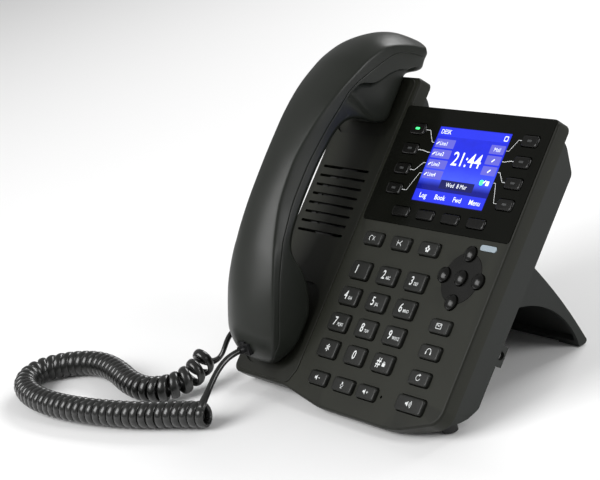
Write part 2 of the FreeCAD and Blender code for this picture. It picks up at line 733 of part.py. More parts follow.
def tube_path(points):
    """Straight runs joined by arcs as large as the runs allow; returns the wire and the radii."""
    spots = [Vector(*point) for point in points]
    runs = [(after - before).Length for before, after in zip(spots, spots[1:])]
    edges, radii, last = [], [], spots[0]
    for index in range(1, len(spots) - 1):
        here = spots[index]
        back = (spots[index - 1] - here).normalize()
        ahead = (spots[index + 1] - here).normalize()
        half = back.getAngle(ahead) / 2
        reach = 0.45 * min(runs[index - 1], runs[index])
        radius = reach * math.tan(half)
        start, end = here + back * reach, here + ahead * reach
        middle = here + (back + ahead).normalize() * (radius / math.sin(half) - radius)
        edges.append(Part.LineSegment(last, start).toShape())
        edges.append(Part.Arc(start, middle, end).toShape())
        radii.append(round(radius, 1))
        last = end
    edges.append(Part.LineSegment(last, spots[-1]).toShape())
    return Part.Wire(edges), radii


def make_tube(name, points, radius):
    """A round tube along a cord's route."""
    path, radii = tube_path(points)
    start = Vector(*points[0])
    heading = Vector(*points[1]) - start
    section = Part.Wire([Part.Circle(start, heading, radius).toShape()])
    solid = path.makePipeShell([section], True, False)
    expected = math.pi * radius ** 2 * path.Length
    print(f"{name}: length {path.Length:.1f} mm, volume ratio {solid.Volume / expected:.4f}, radii {radii}")
    tube = doc.addObject("Part::Feature", name)
    tube.Shape = solid
    return subpart(tube, name, Placement())


def make_cord():
    make_tube("cord_handset_lead", HANDSET_LEAD, size("lead_radius"))
    make_tube("cord_coil", COIL_ROUTE, size("coil_radius"))
    make_tube("cord_base_lead", BASE_LEAD, size("lead_radius"))
    body = plug_block("handset_plug_body", 9.6, 12.5, 6.6, 0, 1.6)
    latch = plug_block("handset_plug_latch", 3, 4, 1.0, 3.6, 1.6)
    anchor = face_placement().inverse().multVec(Vector(*HANDSET_LEAD[0]))
    level = Rotation(Vector(1, 0, 0), -size("face_tilt"))
    boot = rod("handset_plug_boot", 2.4, 3.2, anchor, level.multVec(Vector(0, 1, 0)))
    subpart(fuse("handset_plug", [body, latch, boot]), "handset_plug")
    place = SIDE_JACKS["handset"]
    body = block("base_plug_body", 17, 8.6, 5.6, (-98, place - 4.3, -17.2))
    boot = rod("base_plug_boot", 2.4, 5, (-103, place, -14.4), Vector(1, 0, 0))
    subpart(fuse("base_plug", [body, boot]), "base_plug")


# ---------------------------------------------------------------- build, check and write
def check_and_write():
    doc.recompute()
    faults = [f"{obj.Name}: {obj.State}" for obj in doc.Objects
              if "Invalid" in obj.State or "Error" in obj.State]
    for obj in doc.Objects:
        if obj.TypeId in ("Part::Common", "Part::Extrusion") and obj.Shape.Volume < 0.01:
            faults.append(f"{obj.Name}: empty")
        if obj.TypeId == "Part::Cut" and obj.Base.Shape.Volume - obj.Shape.Volume < 0.01:
            faults.append(f"{obj.Name}: takes nothing away")
    for obj in subparts:
        if obj.Shape.isNull() or not obj.Shape.isValid() or not obj.Shape.Solids:
            faults.append(f"{obj.Label}: no valid solid")
    if faults:
        raise RuntimeError("; ".join(faults))
    os.makedirs("parts", exist_ok=True)
    whole = FreeCAD.BoundBox()
    for obj in subparts:
        obj.Shape.exportStep(f"parts/{obj.Label}.step")
        if not obj.Label.startswith("cord") and not obj.Label.endswith("plug"):
            whole.add(obj.Shape.BoundBox)
    print(f"{len(subparts)} sub-parts; body box {whole}")


make_keys()
make_front_cover()
make_rear_cover()
make_display()
make_nav_bezel()
make_message_lamp()
make_key_mat()
make_main_board()
make_loudspeaker()
make_hook_plunger()
make_screws()
make_stand()
make_feet()
make_handset()
make_cord()
check_and_write()
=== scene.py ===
"""Looks of a desk phone: moulded covers, printed keypad, lit display, handset and curly cord.

Pieces are placed on the sloping face by on_face(across, up, out), in mm: across from the phone's
middle, up the slope from the lowest row of keys, and out from the keypad's surface.
"""
import json
import math

import bpy
from mathutils import Matrix, Vector


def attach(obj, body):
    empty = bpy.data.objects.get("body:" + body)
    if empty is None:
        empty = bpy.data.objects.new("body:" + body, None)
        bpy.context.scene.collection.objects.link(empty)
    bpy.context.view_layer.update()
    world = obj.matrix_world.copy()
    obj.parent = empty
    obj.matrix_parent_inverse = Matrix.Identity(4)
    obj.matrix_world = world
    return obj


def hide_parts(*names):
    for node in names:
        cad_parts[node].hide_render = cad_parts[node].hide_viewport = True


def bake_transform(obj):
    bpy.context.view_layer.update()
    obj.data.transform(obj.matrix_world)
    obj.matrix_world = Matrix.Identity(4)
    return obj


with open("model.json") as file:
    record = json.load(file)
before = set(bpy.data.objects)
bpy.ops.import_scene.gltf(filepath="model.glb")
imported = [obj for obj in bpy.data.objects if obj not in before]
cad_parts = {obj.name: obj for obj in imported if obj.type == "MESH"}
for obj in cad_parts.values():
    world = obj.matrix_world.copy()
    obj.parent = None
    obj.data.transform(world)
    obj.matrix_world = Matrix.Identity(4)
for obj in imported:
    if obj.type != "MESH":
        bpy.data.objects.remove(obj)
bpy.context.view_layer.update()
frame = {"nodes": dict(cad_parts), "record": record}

MM = 0.001
TILT = math.radians(45)
FACE_BACK = -68.1             # where the face's own origin lies in the phone's frame, mm
FACE_LIFT = 16.0
UP_THE_FACE = Vector((0, math.cos(TILT), math.sin(TILT)))
OUT_OF_FACE = Vector((0, -math.sin(TILT), math.cos(TILT)))
PRINT_RISE = 0.025            # printed marks stand this far above their surface, in mm


def on_face(across, up, out):
    """A place on the sloping face, in mm, as a point of the phone's own frame, in metres."""
    foot = Vector((across, FACE_BACK, FACE_LIFT))
    return (foot + UP_THE_FACE * up + OUT_OF_FACE * out) * MM


def face_matrix(across, up, out):
    """Carries a flat drawing in mm to its place on the face."""
    columns = Matrix((Vector((1, 0, 0)), UP_THE_FACE, OUT_OF_FACE)).transposed()
    return Matrix.Translation(on_face(across, up, out)) @ columns.to_4x4() @ Matrix.Scale(MM, 4)


# ---------------------------------------------------------------- node helpers
def node(tree, kind, inputs=None, **settings):
    """A node with its settings and input values."""
    made = tree.nodes.new(kind)
    for name, value in settings.items():
        setattr(made, name, value)
    for name, value in (inputs or {}).items():
        made.inputs[name].default_value = value
    return made


def new_group(name, inputs, outputs):
    """An empty shader group with named sockets."""
    tree = bpy.data.node_groups.new(name, "ShaderNodeTree")
    for label, kind, value in inputs:
        socket = tree.interface.new_socket(label, in_out="INPUT", socket_type=kind)
        if value is not None:
            socket.default_value = value
    for label, kind in outputs:
        tree.interface.new_socket(label, in_out="OUTPUT", socket_type=kind)
    return tree, tree.nodes.new("NodeGroupInput"), tree.nodes.new("NodeGroupOutput")


def mould_texture_group():
    """Spark-eroded mould texture: fine pits, slow patches of sheen and a little handling polish."""
    tree, given, made = new_group(
        "mould_texture",
        [("Place", "NodeSocketVector", None), ("Pit Scale", "NodeSocketFloat", 2200.0),
         ("Pit Depth", "NodeSocketFloat", 0.2), ("Sheen Low", "NodeSocketFloat", 0.4),
         ("Sheen High", "NodeSocketFloat", 0.5)],
        [("Normal", "NodeSocketVector"), ("Roughness", "NodeSocketFloat"),
         ("Tone", "NodeSocketFloat")])
    link = tree.links.new
    pits = node(tree, "ShaderNodeTexNoise", {"Detail": 3.0, "Roughness": 0.6})
    link(given.outputs["Place"], pits.inputs["Vector"])
    link(given.outputs["Pit Scale"], pits.inputs["Scale"])
    bump = node(tree, "ShaderNodeBump", {"Distance": 0.00012})
    link(pits.outputs["Fac"], bump.inputs["Height"])
    link(given.outputs["Pit Depth"], bump.inputs["Strength"])
    patches = node(tree, "ShaderNodeTexNoise", {"Scale": 26.0, "Detail": 4.0, "Roughness": 0.55})
    link(given.outputs["Place"], patches.inputs["Vector"])
    sheen = node(tree, "ShaderNodeMapRange", {"From Min": 0.3, "From Max": 0.7})
    link(patches.outputs["Fac"], sheen.inputs["Value"])
    link(given.outputs["Sheen Low"], sheen.inputs["To Min"])
    link(given.outputs["Sheen High"], sheen.inputs["To Max"])
    tone = node(tree, "ShaderNodeMapRange", {"From Min": 0.25, "From Max": 0.75})
    mixed = node(tree, "ShaderNodeMath", {1: 0.5}, operation="MULTIPLY_ADD")
    link(pits.outputs["Fac"], mixed.inputs[0])
    half = node(tree, "ShaderNodeMath", {1: 0.5}, operation="MULTIPLY")
    link(patches.outputs["Fac"], half.inputs[0])
    link(half.outputs[0], mixed.inputs[2])
    link(mixed.outputs[0], tone.inputs["Value"])
    link(bump.outputs["Normal"], made.inputs["Normal"])
    link(sheen.outputs["Result"], made.inputs["Roughness"])
    link(tone.outputs["Result"], made.inputs["Tone"])
    return tree


def dust_and_wear_group():
    """Worn, slightly paler corners and a trace of dust on surfaces that face up."""
    tree, given, made = new_group(
        "dust_and_wear",
        [("Colour", "NodeSocketColor", (0.05, 0.05, 0.05, 1)),
         ("Wear Colour", "NodeSocketColor", None), ("Dust", "NodeSocketFloat", 0.04)],
        [("Colour", "NodeSocketColor")])
    link = tree.links.new
    shape = node(tree, "ShaderNodeNewGeometry")
    corners = node(tree, "ShaderNodeMapRange", {"From Min": 0.52, "From Max": 0.6, "To Max": 0.55})
    link(shape.outputs["Pointiness"], corners.inputs["Value"])
    worn = node(tree, "ShaderNodeMix", data_type="RGBA")
    link(corners.outputs["Result"], worn.inputs["Factor"])
    link(given.outputs["Colour"], worn.inputs["A"])
    link(given.outputs["Wear Colour"], worn.inputs["B"])
    split = node(tree, "ShaderNodeSeparateXYZ")
    link(shape.outputs["Normal"], split.inputs["Vector"])
    facing = node(tree, "ShaderNodeMapRange", {"From Min": 0.35, "From Max": 1.0})
    link(split.outputs["Z"], facing.inputs["Value"])
    amount = node(tree, "ShaderNodeMath", operation="MULTIPLY")
    link(facing.outputs["Result"], amount.inputs[0])
    link(given.outputs["Dust"], amount.inputs[1])
    dusty = node(tree, "ShaderNodeMix", data_type="RGBA")
    dusty.inputs["B"].default_value = (0.42, 0.41, 0.38, 1)
    link(amount.outputs[0], dusty.inputs["Factor"])
    link(worn.outputs["Result"], dusty.inputs["A"])
    link(dusty.outputs["Result"], made.inputs["Colour"])
    return tree


MOULD_TEXTURE = mould_texture_group()
DUST_AND_WEAR = dust_and_wear_group()


def plain_material(name):
    material = bpy.data.materials.new(name)
    material.use_nodes = True
    return material, material.node_tree, material.node_tree.nodes["Principled BSDF"]


def shade(colour, factor):
    return tuple(min(1.0, part * factor) for part in colour) + (1,)


def moulded(name, colour, sheen, pit_scale, pit_depth, dust=0.004, coat=0.0, specular=0.5):
    """A moulded plastic, rubber or painted finish with its own texture and wear."""
    material, tree, skin = plain_material(name)
    place = node(tree, "ShaderNodeTexCoord")
    texture = node(tree, "ShaderNodeGroup", node_tree=MOULD_TEXTURE)
    texture.inputs["Pit Scale"].default_value = pit_scale
    texture.inputs["Pit Depth"].default_value = pit_depth
    texture.inputs["Sheen Low"].default_value = sheen - 0.05
    texture.inputs["Sheen High"].default_value = sheen + 0.06
    tree.links.new(place.outputs["Object"], texture.inputs["Place"])
    tones = node(tree, "ShaderNodeMix", data_type="RGBA")
    tones.inputs["A"].default_value = shade(colour, 0.82)
    tones.inputs["B"].default_value = shade(colour, 1.18)
    tree.links.new(texture.outputs["Tone"], tones.inputs["Factor"])
    used = node(tree, "ShaderNodeGroup", node_tree=DUST_AND_WEAR)
    used.inputs["Wear Colour"].default_value = shade(colour, 2.2)
    used.inputs["Dust"].default_value = dust
    tree.links.new(tones.outputs["Result"], used.inputs["Colour"])
    tree.links.new(used.outputs["Colour"], skin.inputs["Base Color"])
    tree.links.new(texture.outputs["Roughness"], skin.inputs["Roughness"])
    tree.links.new(texture.outputs["Normal"], skin.inputs["Normal"])
    skin.inputs["Coat Weight"].default_value = coat
    skin.inputs["Coat Roughness"].default_value = 0.08
    skin.inputs["Specular IOR Level"].default_value = specular
    return material


def lit(name, colour, strength):
    """Part of the lit display or a lamp, with faint unevenness in its glow."""
    material, tree, skin = plain_material(name)
    place = node(tree, "ShaderNodeTexCoord")
    cloud = node(tree, "ShaderNodeTexNoise", {"Scale": 60.0, "Detail": 2.0})
    tree.links.new(place.outputs["Object"], cloud.inputs["Vector"])
    glow = node(tree, "ShaderNodeMix", data_type="RGBA")
    glow.inputs["A"].default_value = shade(colour, 0.9)
    glow.inputs["B"].default_value = shade(colour, 1.08)
    tree.links.new(cloud.outputs["Fac"], glow.inputs["Factor"])
    tree.links.new(glow.outputs["Result"], skin.inputs["Emission Color"])
    skin.inputs["Emission Strength"].default_value = strength
    skin.inputs["Base Color"].default_value = (0.004, 0.004, 0.01, 1)
    skin.inputs["Roughness"].default_value = 0.2
    return material


def screen_picture():
    """The display's backdrop: saturated blue, brighter towards a horizon below its middle."""
    material, tree, skin = plain_material("screen_picture")
    place = node(tree, "ShaderNodeTexCoord")
    split = node(tree, "ShaderNodeSeparateXYZ")
    tree.links.new(place.outputs["Generated"], split.inputs["Vector"])
    ramp = node(tree, "ShaderNodeValToRGB")
    stops = ramp.color_ramp.elements
    stops[0].position, stops[0].color = 0.0, (0.0, 0.002, 0.16, 1)
    stops[1].position, stops[1].color = 1.0, (0.01, 0.02, 0.62, 1)
    for position, colour in ((0.22, (0.0, 0.004, 0.22, 1)), (0.33, (0.05, 0.09, 0.95, 1)),
                             (0.6, (0.008, 0.02, 0.7, 1))):
        stops.new(position).color = colour
    tree.links.new(split.outputs["Y"], ramp.inputs["Fac"])
    cloud = node(tree, "ShaderNodeTexNoise", {"Scale": 7.0, "Detail": 5.0})
    tree.links.new(place.outputs["Generated"], cloud.inputs["Vector"])
    mixed = node(tree, "ShaderNodeMix", data_type="RGBA", blend_type="MULTIPLY")
    mixed.inputs["Factor"].default_value = 0.35
    tree.links.new(ramp.outputs["Color"], mixed.inputs["A"])
    tree.links.new(cloud.outputs["Fac"], mixed.inputs["B"])
    tree.links.new(mixed.outputs["Result"], skin.inputs["Emission Color"])
    skin.inputs["Emission Strength"].default_value = 1.5
    skin.inputs["Base Color"].default_value = (0.003, 0.003, 0.02, 1)
    skin.inputs["Roughness"].default_value = 0.12
    return material


def brushed_metal(name, colour, roughness):
    material, tree, skin = plain_material(name)
    place = node(tree, "ShaderNodeTexCoord")
    stretch = node(tree, "ShaderNodeMapping")
    stretch.inputs["Scale"].default_value = (60, 1600, 1600)
    tree.links.new(place.outputs["Object"], stretch.inputs["Vector"])
    lines = node(tree, "ShaderNodeTexNoise", {"Scale": 1.0, "Detail": 3.0})
    tree.links.new(stretch.outputs["Vector"], lines.inputs["Vector"])
    rough = node(tree, "ShaderNodeMapRange", {"To Min": roughness - 0.08, "To Max": roughness + 0.1})
    tree.links.new(lines.outputs["Fac"], rough.inputs["Value"])
    tree.links.new(rough.outputs["Result"], skin.inputs["Roughness"])
    skin.inputs["Base Color"].default_value = colour + (1,)
    skin.inputs["Metallic"].default_value = 1.0
    return material


CHARCOAL = (0.0105, 0.0111, 0.0079)
SLATE = (0.0125, 0.0136, 0.0125)

NO_DUST = {"dust": 0.0}

# name: colour, sheen, pits to the metre, pit depth, and what else sets the finish apart
MOULDED = {
    "cover_plastic": (CHARCOAL, 0.44, 2600, 0.22, {"specular": 0.2}),
    "case_plastic": (SLATE, 0.46, 2200, 0.26, {"specular": 0.24}),
    "handset_plastic": ((0.0122, 0.0140, 0.0112), 0.36, 3000, 0.14, {"specular": 0.3}),
    "display_gloss": ((0.0032, 0.0034, 0.0026), 0.13, 900, 0.01, {"specular": 0.1, **NO_DUST}),
    "circuit_board": ((0.02, 0.12, 0.05), 0.35, 1500, 0.1, {}),
    "key_mat_rubber": ((0.12, 0.12, 0.12), 0.6, 1400, 0.2, {}),
    "speaker_metal": ((0.02, 0.02, 0.02), 0.4, 1200, 0.1, {}),
    "gloss_black": ((0.0045, 0.0045, 0.004), 0.2, 1200, 0.02, {"specular": 0.3, **NO_DUST}),
    "key_plastic": ((0.0075, 0.0080, 0.0066), 0.36, 3200, 0.1, {"specular": 0.3}),
    "lamp_lens": ((0.2, 0.24, 0.27), 0.25, 1200, 0.03, {"coat": 0.4, **NO_DUST}),
    "foot_rubber": ((0.008, 0.008, 0.008), 0.62, 1500, 0.35, {}),
    "cord_plastic": ((0.0085, 0.0088, 0.0082), 0.27, 1100, 0.05, {"coat": 0.25, **NO_DUST}),
    "plug_plastic": ((0.009, 0.009, 0.0095), 0.3, 1100, 0.05, {"coat": 0.2, **NO_DUST}),
    "legend_ink": ((0.72, 0.74, 0.74), 0.5, 2400, 0.06, {}),
    "unlit_mark": ((0.03, 0.032, 0.032), 0.4, 2000, 0.05, NO_DUST),
    "slot_shadow": ((0.004, 0.004, 0.004), 0.7, 1800, 0.2, {}),
}
FINISHES = {name: moulded(name, *look, **extra) for name, (*look, extra) in MOULDED.items()}
FINISHES["display_metal"] = brushed_metal("display_metal", (0.5, 0.5, 0.5), 0.35)
FINISHES["screw_steel"] = brushed_metal("screw_steel", (0.3, 0.3, 0.3), 0.3)
SCREEN_PICTURE = screen_picture()
SCREEN_WHITE = lit("screen_white", (0.85, 0.9, 1.0), 1.5)
SCREEN_LABEL = lit("screen_label", (0.14, 0.14, 0.72), 1.1)
SCREEN_BAR = lit("screen_bar", (0.015, 0.03, 0.8), 1.2)
SCREEN_DARK = lit("screen_dark", (0.002, 0.004, 0.12), 1.0)
GREEN_LAMP = lit("green_lamp", (0.05, 0.9, 0.18), 3.0)


def finish_frame():
    """Gives each CAD piece the finish that the record names."""
    slots = {part["node"]: part["material_slot"] for part in frame["record"]["subparts"]}
    for name, piece in frame["nodes"].items():
        piece.data.materials.clear()
        piece.data.materials.append(FINISHES[slots[name]])


# ---------------------------------------------------------------- mesh helpers
def piece(name, points, faces, finish, body, slot, smooth=True):
    """A mesh piece in the phone's own frame that rides on a body."""
    mesh = bpy.data.meshes.new(name)
    mesh.from_pydata([tuple(point) for point in points], [], faces)
    mesh.validate()
    if smooth:
        mesh.shade_smooth()
    mesh.materials.append(finish)
    made = bpy.data.objects.new(name, mesh)
    bpy.context.scene.collection.objects.link(made)
    if body:
        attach(made, body)
    return made


def soften(made, levels=1):
    modifier = made.modifiers.new("soften", "SUBSURF")
    modifier.levels = levels
    modifier.render_levels = levels
    return made


def rounded_ring(width, depth, radius, steps=6):
    """Points round a rounded rectangle about the origin, as (across, up)."""
    ring = []
    corners = ((1, 1, 0), (-1, 1, 90), (-1, -1, 180), (1, -1, 270))
    for right, top, start in corners:
        middle = (right * (width / 2 - radius), top * (depth / 2 - radius))
        for step in range(steps + 1):
            angle = math.radians(start + 90 * step / steps)
            ring.append((middle[0] + radius * math.cos(angle), middle[1] + radius * math.sin(angle)))
    return ring


def ring_faces(rings, count):
    """The faces of a closed form made of so many rings, with count points in each."""
    faces = [tuple(reversed(range(count)))]
    for level in range(rings - 1):
        low, high = level * count, (level + 1) * count
        for step in range(count):
            after = (step + 1) % count
            faces.append((low + step, low + after, high + after, high + step))
    last = (rings - 1) * count
    faces.append(tuple(range(last, last + count)))
    return faces


def stacked_rings(place, rings):
    """A closed form from rings of (outline, height), low to high, on the face."""
    points = [place @ Vector((across, up, height)) for ring, height in rings for across, up in ring]
    return points, ring_faces(len(rings), len(rings[0][0]))


# ---------------------------------------------------------------- camera, room and light
def make_camera():
    """The view: low, from the phone's right front, with a slight roll."""
    camera = bpy.data.objects.new("camera", bpy.data.cameras.new("camera"))
    camera.data.sensor_fit = "HORIZONTAL"
    camera.data.sensor_width = 36
    camera.data.lens = 114
    camera.data.clip_start = 0.01
    right = Vector((0.5743, 0.7820, -0.2421)).normalized()
    ahead = Vector((-0.8100, 0.5002, -0.3060)).normalized()
    above = right.cross(ahead).normalized()
    turn = Matrix((right, above, -ahead)).transposed()
    camera.matrix_world = Matrix.Translation((0.7912, -0.5547, 0.3948)) @ turn.to_4x4()
    bpy.context.scene.collection.objects.link(camera)
    bpy.context.scene.camera = camera


def soft_box(name, place, target, width, height, power):
    lamp = bpy.data.lights.new(name, "AREA")
    lamp.shape = "RECTANGLE"
    lamp.size, lamp.size_y = width, height
    lamp.energy = power
    made = bpy.data.objects.new(name, lamp)
    made.location = place
    made.rotation_euler = (Vector(target) - Vector(place)).to_track_quat("-Z", "Y").to_euler()
    bpy.context.scene.collection.objects.link(made)


FLOOR_HALF = 6.0               # m
FLOOR_HEIGHT = -0.0004         # just below the feet, so that the two surfaces don't meet


def make_room():
    material, _, skin = plain_material("pale_floor")
    skin.inputs["Base Color"].default_value = (0.86, 0.86, 0.86, 1)
    skin.inputs["Roughness"].default_value = 0.7
    corners = [(right * FLOOR_HALF, far * FLOOR_HALF, FLOOR_HEIGHT)
               for right, far in ((-1, -1), (1, -1), (1, 1), (-1, 1))]
    mesh = bpy.data.meshes.new("floor")
    mesh.from_pydata(corners, [], [(0, 1, 2, 3)])
    mesh.materials.append(material)
    floor = bpy.data.objects.new("floor", mesh)
    bpy.context.scene.collection.objects.link(floor)
    world = bpy.data.worlds.new("studio")
    world.use_nodes = True
    backdrop = world.node_tree.nodes["Background"]
    backdrop.inputs["Color"].default_value = (1, 1, 1, 1)
    seen = world.node_tree.nodes.new("ShaderNodeLightPath")
    strength = world.node_tree.nodes.new("ShaderNodeMapRange")
    strength.inputs["To Min"].default_value = 0.3
    strength.inputs["To Max"].default_value = 1.0
    world.node_tree.links.new(seen.outputs["Is Camera Ray"], strength.inputs["Value"])
    world.node_tree.links.new(strength.outputs["Result"], backdrop.inputs["Strength"])
    bpy.context.scene.world = world
    bpy.context.scene.view_settings.view_transform = "Standard"
    middle = (-0.02, 0, 0.08)
    soft_box("window_light", (-0.5, -1.3, 1.1), middle, 1.2, 1.0, 26)
    soft_box("side_light", (1.5, 0.4, 0.8), middle, 0.5, 1.2, 14)
    soft_box("back_light", (-0.3, 1.4, 1.2), middle, 1.4, 0.5, 20)


# ---------------------------------------------------------------- curly cord
# routes and sizes in mm
COIL_WIRE = (5.3, 2.8)         # the flat cable's width along the coil and its thickness
LEAD_WIRE = (3.6, 3.2)         # the same cable where it runs out of the coil
CABLE_SIDES = 12
ROUNDING_STEPS = 14            # the cable changes from one section to the other over so many points
COIL_RADIUS = 6.1              # from the coil's middle line to the cable's
COIL_PITCH = 5.5               # advance of each turn
POINTS_PER_TURN = 18
FIRST_TURN = -0.6              # where on its turn the coil begins, from straight up, in radians
COIL_SHORT_OF_ROUTE = 4.0      # the coil ends this far before its route does
OPENS_FROM = 0.88              # the share of its route where the coil begins to open
OPENING = 0.7                  # how much more each turn advances at the end
ROUTE_RESOLUTION = 16
ROUTE_STEP = 0.5               # between points of the coil's middle line
LEAD_STEP = 1.2                # between points of a lead
JOIN_POINTS = 12
HANDSET_JOIN_REACH = 5         # how far a join runs straight on at each of its ends
BASE_JOIN_REACH = 8
HANDSET_LEAD = [(-63, -83, 28.73), (-63, -88.6, 28.73), (-62.6, -95.6, 26.8), (-61, -103.1, 23),
                (-58.5, -110.1, 18.5)]
COIL_ROUTE = [(-55, -117.6, 7.6), (-72, -124.6, 7.6), (-90, -134.6, 7.6), (-119, -145.1, 7.6),
              (-153, -153.1, 7.6), (-184, -155.1, 7.6), (-210, -149.6, 7.6), (-223, -137.1, 7.6),
              (-220, -124.1, 7.6), (-208, -113.1, 7.6), (-190, -106.1, 7.6), (-166, -108.1, 7.6),
              (-143, -114.1, 7.6), (-122, -115.1, 7.6), (-109, -107.1, 8.0), (-105, -96.1, 9.5),
              (-106, -85.1, 13), (-110.5, -74.1, 18)]
BASE_LEAD = [(-106.5, -59.6, 22.8), (-106.5, -51.6, 25.6), (-110, -44.1, 28.8), (-114.5, -36.6, 32.5),
             (-116, -28.6, 36.8), (-111, -22.56, 41.17), (-103, -22.56, 41.17)]


def bare_mesh(data):
    """The mesh that a curve or a text stands for. The curve itself is deleted."""
    holder = bpy.data.objects.new("holder", data)
    bpy.context.scene.collection.objects.link(holder)
    shown = holder.evaluated_get(bpy.context.evaluated_depsgraph_get())
    mesh = bpy.data.meshes.new_from_object(shown)
    bpy.data.objects.remove(holder)
    bpy.data.curves.remove(data)
    return mesh


def smooth_route(points):
    """The smooth line that a route's points control, as points in mm."""
    curve = bpy.data.curves.new("route", "CURVE")
    curve.dimensions = "3D"
    spline = curve.splines.new("NURBS")
    spline.points.add(len(points) - 1)
    for spot, point in zip(spline.points, points):
        spot.co = (*point, 1)
    spline.order_u = 3
    spline.use_endpoint_u = True
    spline.resolution_u = ROUTE_RESOLUTION
    mesh = bare_mesh(curve)
    line = [vertex.co.copy() for vertex in mesh.vertices]
    bpy.data.meshes.remove(mesh)
    return line


def evenly(line, spacing):
    """The same line with its points a given distance apart."""
    spots, carried = [line[0].copy()], 0.0
    for start, end in zip(line, line[1:]):
        run = (end - start).length
        reach = spacing - carried
        while reach <= run:
            spots.append(start.lerp(end, reach / run))
            reach += spacing
        carried = run - (reach - spacing)
    if (spots[-1] - line[-1]).length > spacing * 0.4:
        spots.append(line[-1].copy())
    return spots


def way_at(line, index):
    """Which way a line runs at one of its points."""
    return (line[min(index + 1, len(line) - 1)] - line[max(index - 1, 0)]).normalized()


def carried_frames(line, first_side):
    """Two directions square to the line at each point, carried along it without twist."""
    side = first_side
    frames = []
    for index in range(len(line)):
        ahead = way_at(line, index)
        side = (side - ahead * side.dot(ahead)).normalized()
        frames.append((side, ahead.cross(side)))
    return frames


def coil_line():
    """The coil's cable, and which way its wide side lies: turns that open up off the desk."""
    route = evenly(smooth_route(COIL_ROUTE), ROUTE_STEP)
    frames = carried_frames(route, Vector((0, 0, 1)))
    wire, flats, turned = [], [], FIRST_TURN
    total = len(route) - 1
    step_angle = 2 * math.pi / POINTS_PER_TURN
    reached = 0.0
    while reached < total - COIL_SHORT_OF_ROUTE / ROUTE_STEP:
        index = int(reached)
        share = reached - index
        after = min(index + 1, total)
        middle = route[index].lerp(route[after], share)
        side = frames[index][0].lerp(frames[after][0], share)
        other = frames[index][1].lerp(frames[after][1], share)
        wire.append(middle + (side * math.cos(turned) + other * math.sin(turned)) * COIL_RADIUS)
        flats.append((route[after] - route[index]).normalized())
        turned -= step_angle
        opened = max(0.0, (reached / total - OPENS_FROM) / (1 - OPENS_FROM))
        reached += COIL_PITCH * (1.0 + OPENING * opened) / POINTS_PER_TURN / ROUTE_STEP
    return wire, flats


def eased(value, low, high):
    """0 up to low, 1 from high on, and a soft step between them."""
    share = max(0.0, min(1.0, (value - low) / (high - low)))
    return share * share * (3 - 2 * share)


def cable(line, flats, steps_from_coil):
    """Points and faces of the cable along a line in mm, in metres."""
    points = []
    for index, (spot, flat, steps) in enumerate(zip(line, flats, steps_from_coil)):
        ahead = way_at(line, index)
        side = (flat - ahead * flat.dot(ahead)).normalized()
        other = ahead.cross(side)
        rounder = eased(steps, 0, ROUNDING_STEPS)
        wide, thick = [coil + (lead - coil) * rounder for coil, lead in zip(COIL_WIRE, LEAD_WIRE)]
        for step in range(CABLE_SIDES):
            angle = 2 * math.pi * step / CABLE_SIDES
            reach = side * math.cos(angle) * wide / 2 + other * math.sin(angle) * thick / 2
            points.append((spot + reach) * MM)
    return points, ring_faces(len(line), CABLE_SIDES)


def joining(start, start_way, end, end_way, reach):
    """A smooth run of wire that leaves one line and meets another."""
    first, second = start + start_way * reach, end - end_way * reach
    run = []
    for step in range(1, JOIN_POINTS):
        share = step / JOIN_POINTS
        rest = 1 - share
        run.append(start * rest ** 3 + first * 3 * rest ** 2 * share
                   + second * 3 * rest * share ** 2 + end * share ** 3)
    return run


def cable_piece(name, line, flats, steps_from_coil, body):
    points, faces = cable(line, flats, steps_from_coil)
    return piece(name, points, faces, FINISHES["cord_plastic"], body, "cord_plastic")


def make_cord():
    """The curly cord with its lead to the base, and the lead from the handset to the coil."""
    wire, flats = coil_line()
    to_handset = smooth_route(HANDSET_LEAD)
    join = joining(to_handset[-1], way_at(to_handset, len(to_handset) - 1), wire[0], way_at(wire, 0),
                   HANDSET_JOIN_REACH)
    handset_line = evenly(to_handset + join + [wire[0]], LEAD_STEP)
    to_base = smooth_route(BASE_LEAD)
    join = joining(wire[-1], way_at(wire, len(wire) - 1), to_base[0], way_at(to_base, 0),
                   BASE_JOIN_REACH)
    base_line = evenly(join + to_base, LEAD_STEP)
    coil_and_lead = wire + base_line
    base_flats = [side for side, _ in carried_frames(base_line, flats[-1])]
    steps = [0] * len(wire) + list(range(1, len(base_line) + 1))
    coil = cable_piece("curly_cord", coil_and_lead, flats + base_flats, steps, "base")
    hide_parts("cord_coil", "cord_base_lead")
    from_coil = list(reversed(handset_line))
    handset_flats = [side for side, _ in carried_frames(from_coil, flats[0])]
    lead = cable_piece("handset_lead", from_coil, handset_flats, range(len(from_coil)), None)
    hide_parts("cord_handset_lead")
    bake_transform(lead)


# ---------------------------------------------------------------- handset
HANDSET_MIDDLE = -63.0
